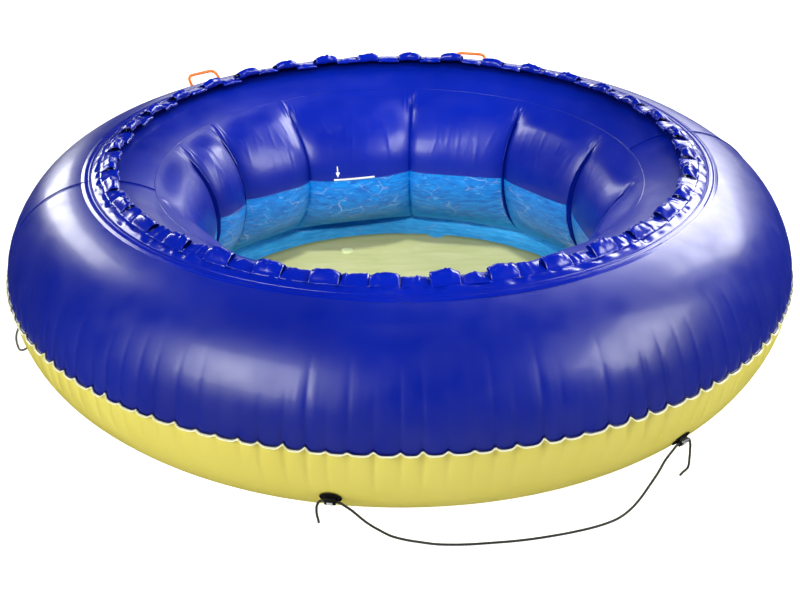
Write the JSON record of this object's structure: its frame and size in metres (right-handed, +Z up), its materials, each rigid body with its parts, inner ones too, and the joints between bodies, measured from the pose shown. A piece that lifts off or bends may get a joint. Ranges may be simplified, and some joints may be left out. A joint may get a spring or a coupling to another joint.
{
  "type": "inflatable pool ring",
  "caption": "Large round inflatable ring with a pool inside, a sleeve flap round the top, two rear handles and side grab ropes.",
  "frame": {"origin": "centre of the floor's underside, on the ground, without the ropes", "axes": "+Z up, -Y towards the front grab rope, +X to the viewer's right"},
  "size_m": [2.1538, 2.127, 0.546],
  "materials": {
    "blue_pvc": "glossy welded PVC sheet",
    "yellow_pvc": "semi-gloss welded PVC sheet",
    "printed_pvc": "PVC sheet with a printed water pattern",
    "floor_pvc": "pale yellow-green PVC sheet",
    "orange_handle": "moulded flexible plastic",
    "black_plastic": "moulded, slightly glossy",
    "black_rope": "braided cord",
    "white_valve": "moulded"
  },
  "bodies": {
    "tube": {"drain_seat": "white_valve", "flange_lower_lip": "yellow_pvc", "flange_upper_lip": "blue_pvc", "flap_weld_strip": "blue_pvc", "floor_disc": "floor_pvc", "floor_rim": "printed_pvc", "handle_patch_left": "blue_pvc", "handle_patch_right": "blue_pvc", "handle_tunnel_left": "blue_pvc", "handle_tunnel_right": "blue_pvc", "inner_seam_band": "blue_pvc", "inner_wall_skin_front": "blue_pvc", "inner_wall_skin_rear": "blue_pvc", "lower_skin_front": "yellow_pvc", "lower_skin_rear": "yellow_pvc", "printed_wall_skin_front": "printed_pvc", "printed_wall_skin_rear": "printed_pvc", "rope_fitting_front_left": "black_plastic", "rope_fitting_front_right": "black_plastic", "rope_fitting_left": "black_plastic", "rope_fitting_rear_left": "black_plastic", "rope_fitting_rear_right": "black_plastic", "rope_fitting_right": "black_plastic", "rope_front": "black_rope", "rope_rear": "black_rope", "sleeve_flap": "blue_pvc", "tail_front_left": "black_rope", "tail_front_right": "black_rope", "tail_left": "black_rope", "tail_rear_left": "black_rope", "upper_seam_tape": "blue_pvc", "upper_skin_front": "blue_pvc", "upper_skin_rear": "blue_pvc", "valve_body": "white_valve", "valve_flange": "white_valve", "valve_hinge_block": "white_valve", "valve_insert": "white_valve", "web_01": "blue_pvc", "web_02": "blue_pvc", "web_03": "blue_pvc", "web_04": "blue_pvc", "web_05": "blue_pvc", "web_06": "blue_pvc", "web_07": "blue_pvc", "web_08": "blue_pvc", "web_09": "blue_pvc", "web_10": "blue_pvc", "web_11": "blue_pvc", "web_12": "blue_pvc"},
    "handle_left": {"handle_loop_left": "orange_handle"},
    "handle_right": {"handle_loop_right": "orange_handle"},
    "valve_lid": {"valve_lid": "white_valve"},
    "valve_flap": {"valve_flap": "black_plastic"},
    "drain_plug": {"drain_plug": "white_valve"}
  },
  "joints": [
    {"name": "handle_left_swing", "type": "hinge", "parent": "tube", "child": "handle_left", "pos_m": [-0.61045, 0.80132, 0.42994], "axis": [-0.7955, -0.606, 0], "range_deg": [-75, 75]},
    {"name": "handle_right_swing", "type": "hinge", "parent": "tube", "child": "handle_right", "pos_m": [0.23003, 0.98074, 0.42994], "axis": [-0.9736, 0.2284, 0], "range_deg": [-75, 75]},
    {"name": "valve_lid_flip", "type": "hinge", "parent": "tube", "child": "valve_lid", "pos_m": [0, 1.01933, 0.41475], "axis": [1, 0, 0], "range_deg": [0, 150]},
    {"name": "valve_flap_lift", "type": "slide", "parent": "tube", "child": "valve_flap", "axis": [0, -0.8643, -0.5031], "range_m": [0, 0.004], "stiffness_N_per_m": 60, "springref_m": -0.001},
    {"name": "drain_plug_lift", "type": "slide", "parent": "tube", "child": "drain_plug", "axis": [0, 0, 1], "range_m": [0, 0.03]}
  ]
}
